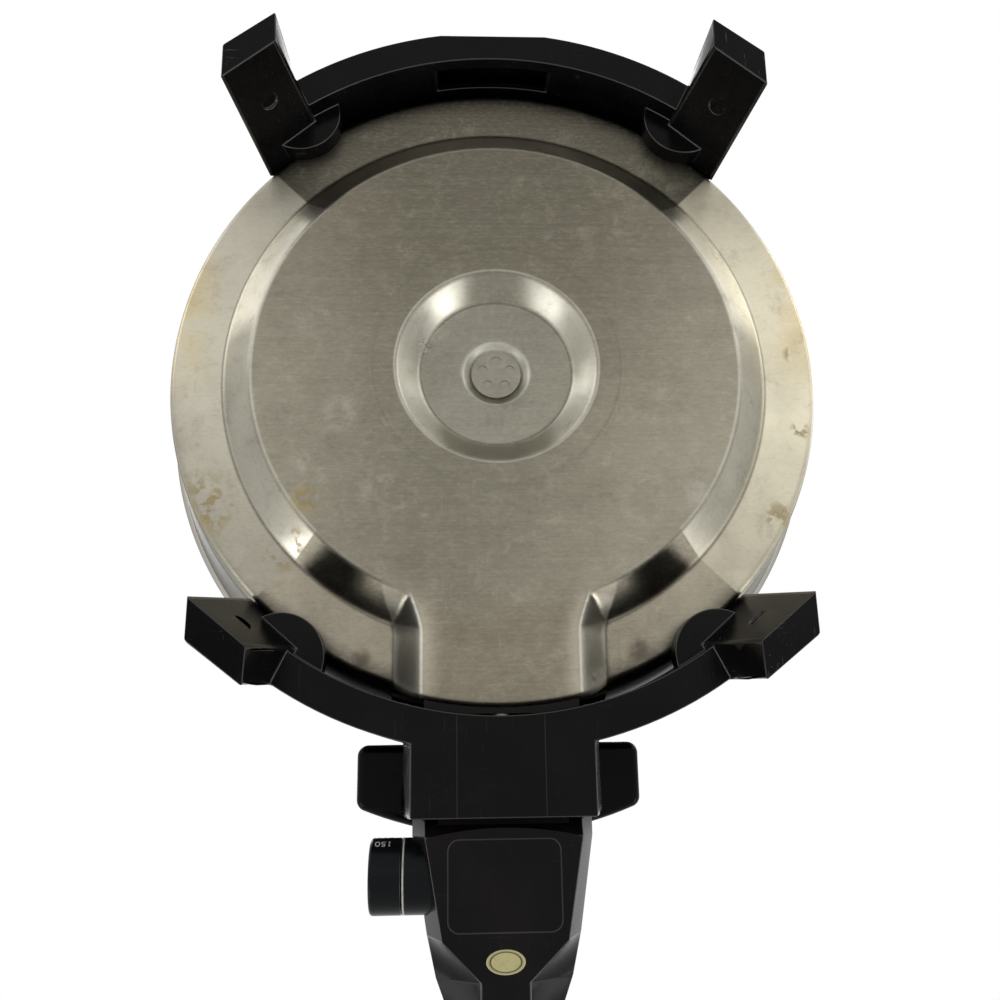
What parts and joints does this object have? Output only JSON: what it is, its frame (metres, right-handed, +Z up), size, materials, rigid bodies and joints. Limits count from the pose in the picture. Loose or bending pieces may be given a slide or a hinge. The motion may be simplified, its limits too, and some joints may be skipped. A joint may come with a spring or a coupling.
{
  "type": "electric skillet",
  "caption": "Round stainless electric skillet with a sealed base, moulded leg brackets with handles, a pull-out probe control and a lift-off lid.",
  "frame": {"origin": "on the table, under the middle of the bounding box; the pan's upright axis stands 50.65 mm behind it", "axes": "+Z up; -Y towards the probe control, +Y towards the rear handle; +X towards the control's dial"},
  "size_m": [0.328, 0.5152, 0.1947],
  "materials": {
    "stainless_pan": "brushed stainless steel, outside of the pan",
    "stainless_shell": "stainless steel brushed along X, with heat tints and stains",
    "polished_lid": "polished stainless steel",
    "zinc_steel": "zinc-plated steel",
    "sheath_steel": "heat-darkened sheath",
    "black_phenolic": "black moulded phenolic, semi-gloss",
    "brown_phenolic": "brown-black moulding compound",
    "nickel_contact": "nickel-plated",
    "ceramic": "off-white ceramic",
    "red_silicone": "red silicone rubber",
    "black_rubber": "black rubber",
    "spring_bronze": "spring bronze",
    "pale_ring": "pale grey moulding",
    "amber_lens": "amber lens",
    "lamp_glass": "clear lamp glass",
    "sticker_foil": "cream and gold foil label, bare"
  },
  "bodies": {
    "skillet": {"cooking_pan": "stainless_pan", "bottom_shell": "stainless_shell", "fill_plug": "stainless_shell", "heating_element": "sheath_steel", "element_clips": "zinc_steel", "terminal_plate": "stainless_shell", "terminal_pins": "nickel_contact", "pin_insulators": "ceramic", "pin_seals": "red_silicone", "probe_well": "zinc_steel", "front_bracket": "black_phenolic", "rear_bracket": "black_phenolic", "front_handle": "black_phenolic", "rear_handle": "black_phenolic", "front_mounting_plate": "zinc_steel", "rear_mounting_plate": "zinc_steel", "handle_screws": "zinc_steel"},
    "control": {"control_lower_housing": "black_phenolic", "control_upper_housing": "black_phenolic", "housing_screws": "zinc_steel", "contact_block": "brown_phenolic", "socket_contacts": "nickel_contact", "probe_rod": "nickel_contact", "thermostat_frame": "zinc_steel", "contact_stack": "ceramic", "bimetal_blade": "spring_bronze", "contact_blade": "spring_bronze", "dial_bezel": "black_phenolic", "indicator_ring": "pale_ring", "pilot_lens": "amber_lens", "pilot_lamp": "lamp_glass", "cord_inlet_bush": "black_rubber", "oval_sticker": "sticker_foil"},
    "dial": {"dial_knob": "black_phenolic", "adjusting_spindle": "zinc_steel"},
    "lid": {"lid_shell": "polished_lid", "steam_vent": "zinc_steel", "lid_knob_washer": "zinc_steel", "lid_knob": "black_phenolic", "lid_knob_screw": "zinc_steel"}
  },
  "joints": [
    {"name": "control_pull", "type": "slide", "parent": "skillet", "child": "control", "axis": [0, -1, 0], "range_m": [0, 0.1]},
    {"name": "dial_turn", "type": "hinge", "parent": "control", "child": "dial", "pos_m": [0.0415, -0.16895, 0.062], "axis": [1, 0, 0], "range_deg": [0, 280]},
    {"name": "lid_lift", "type": "slide", "parent": "skillet", "child": "lid", "axis": [0, 0, 1], "range_m": [0, 0.12]}
  ]
}
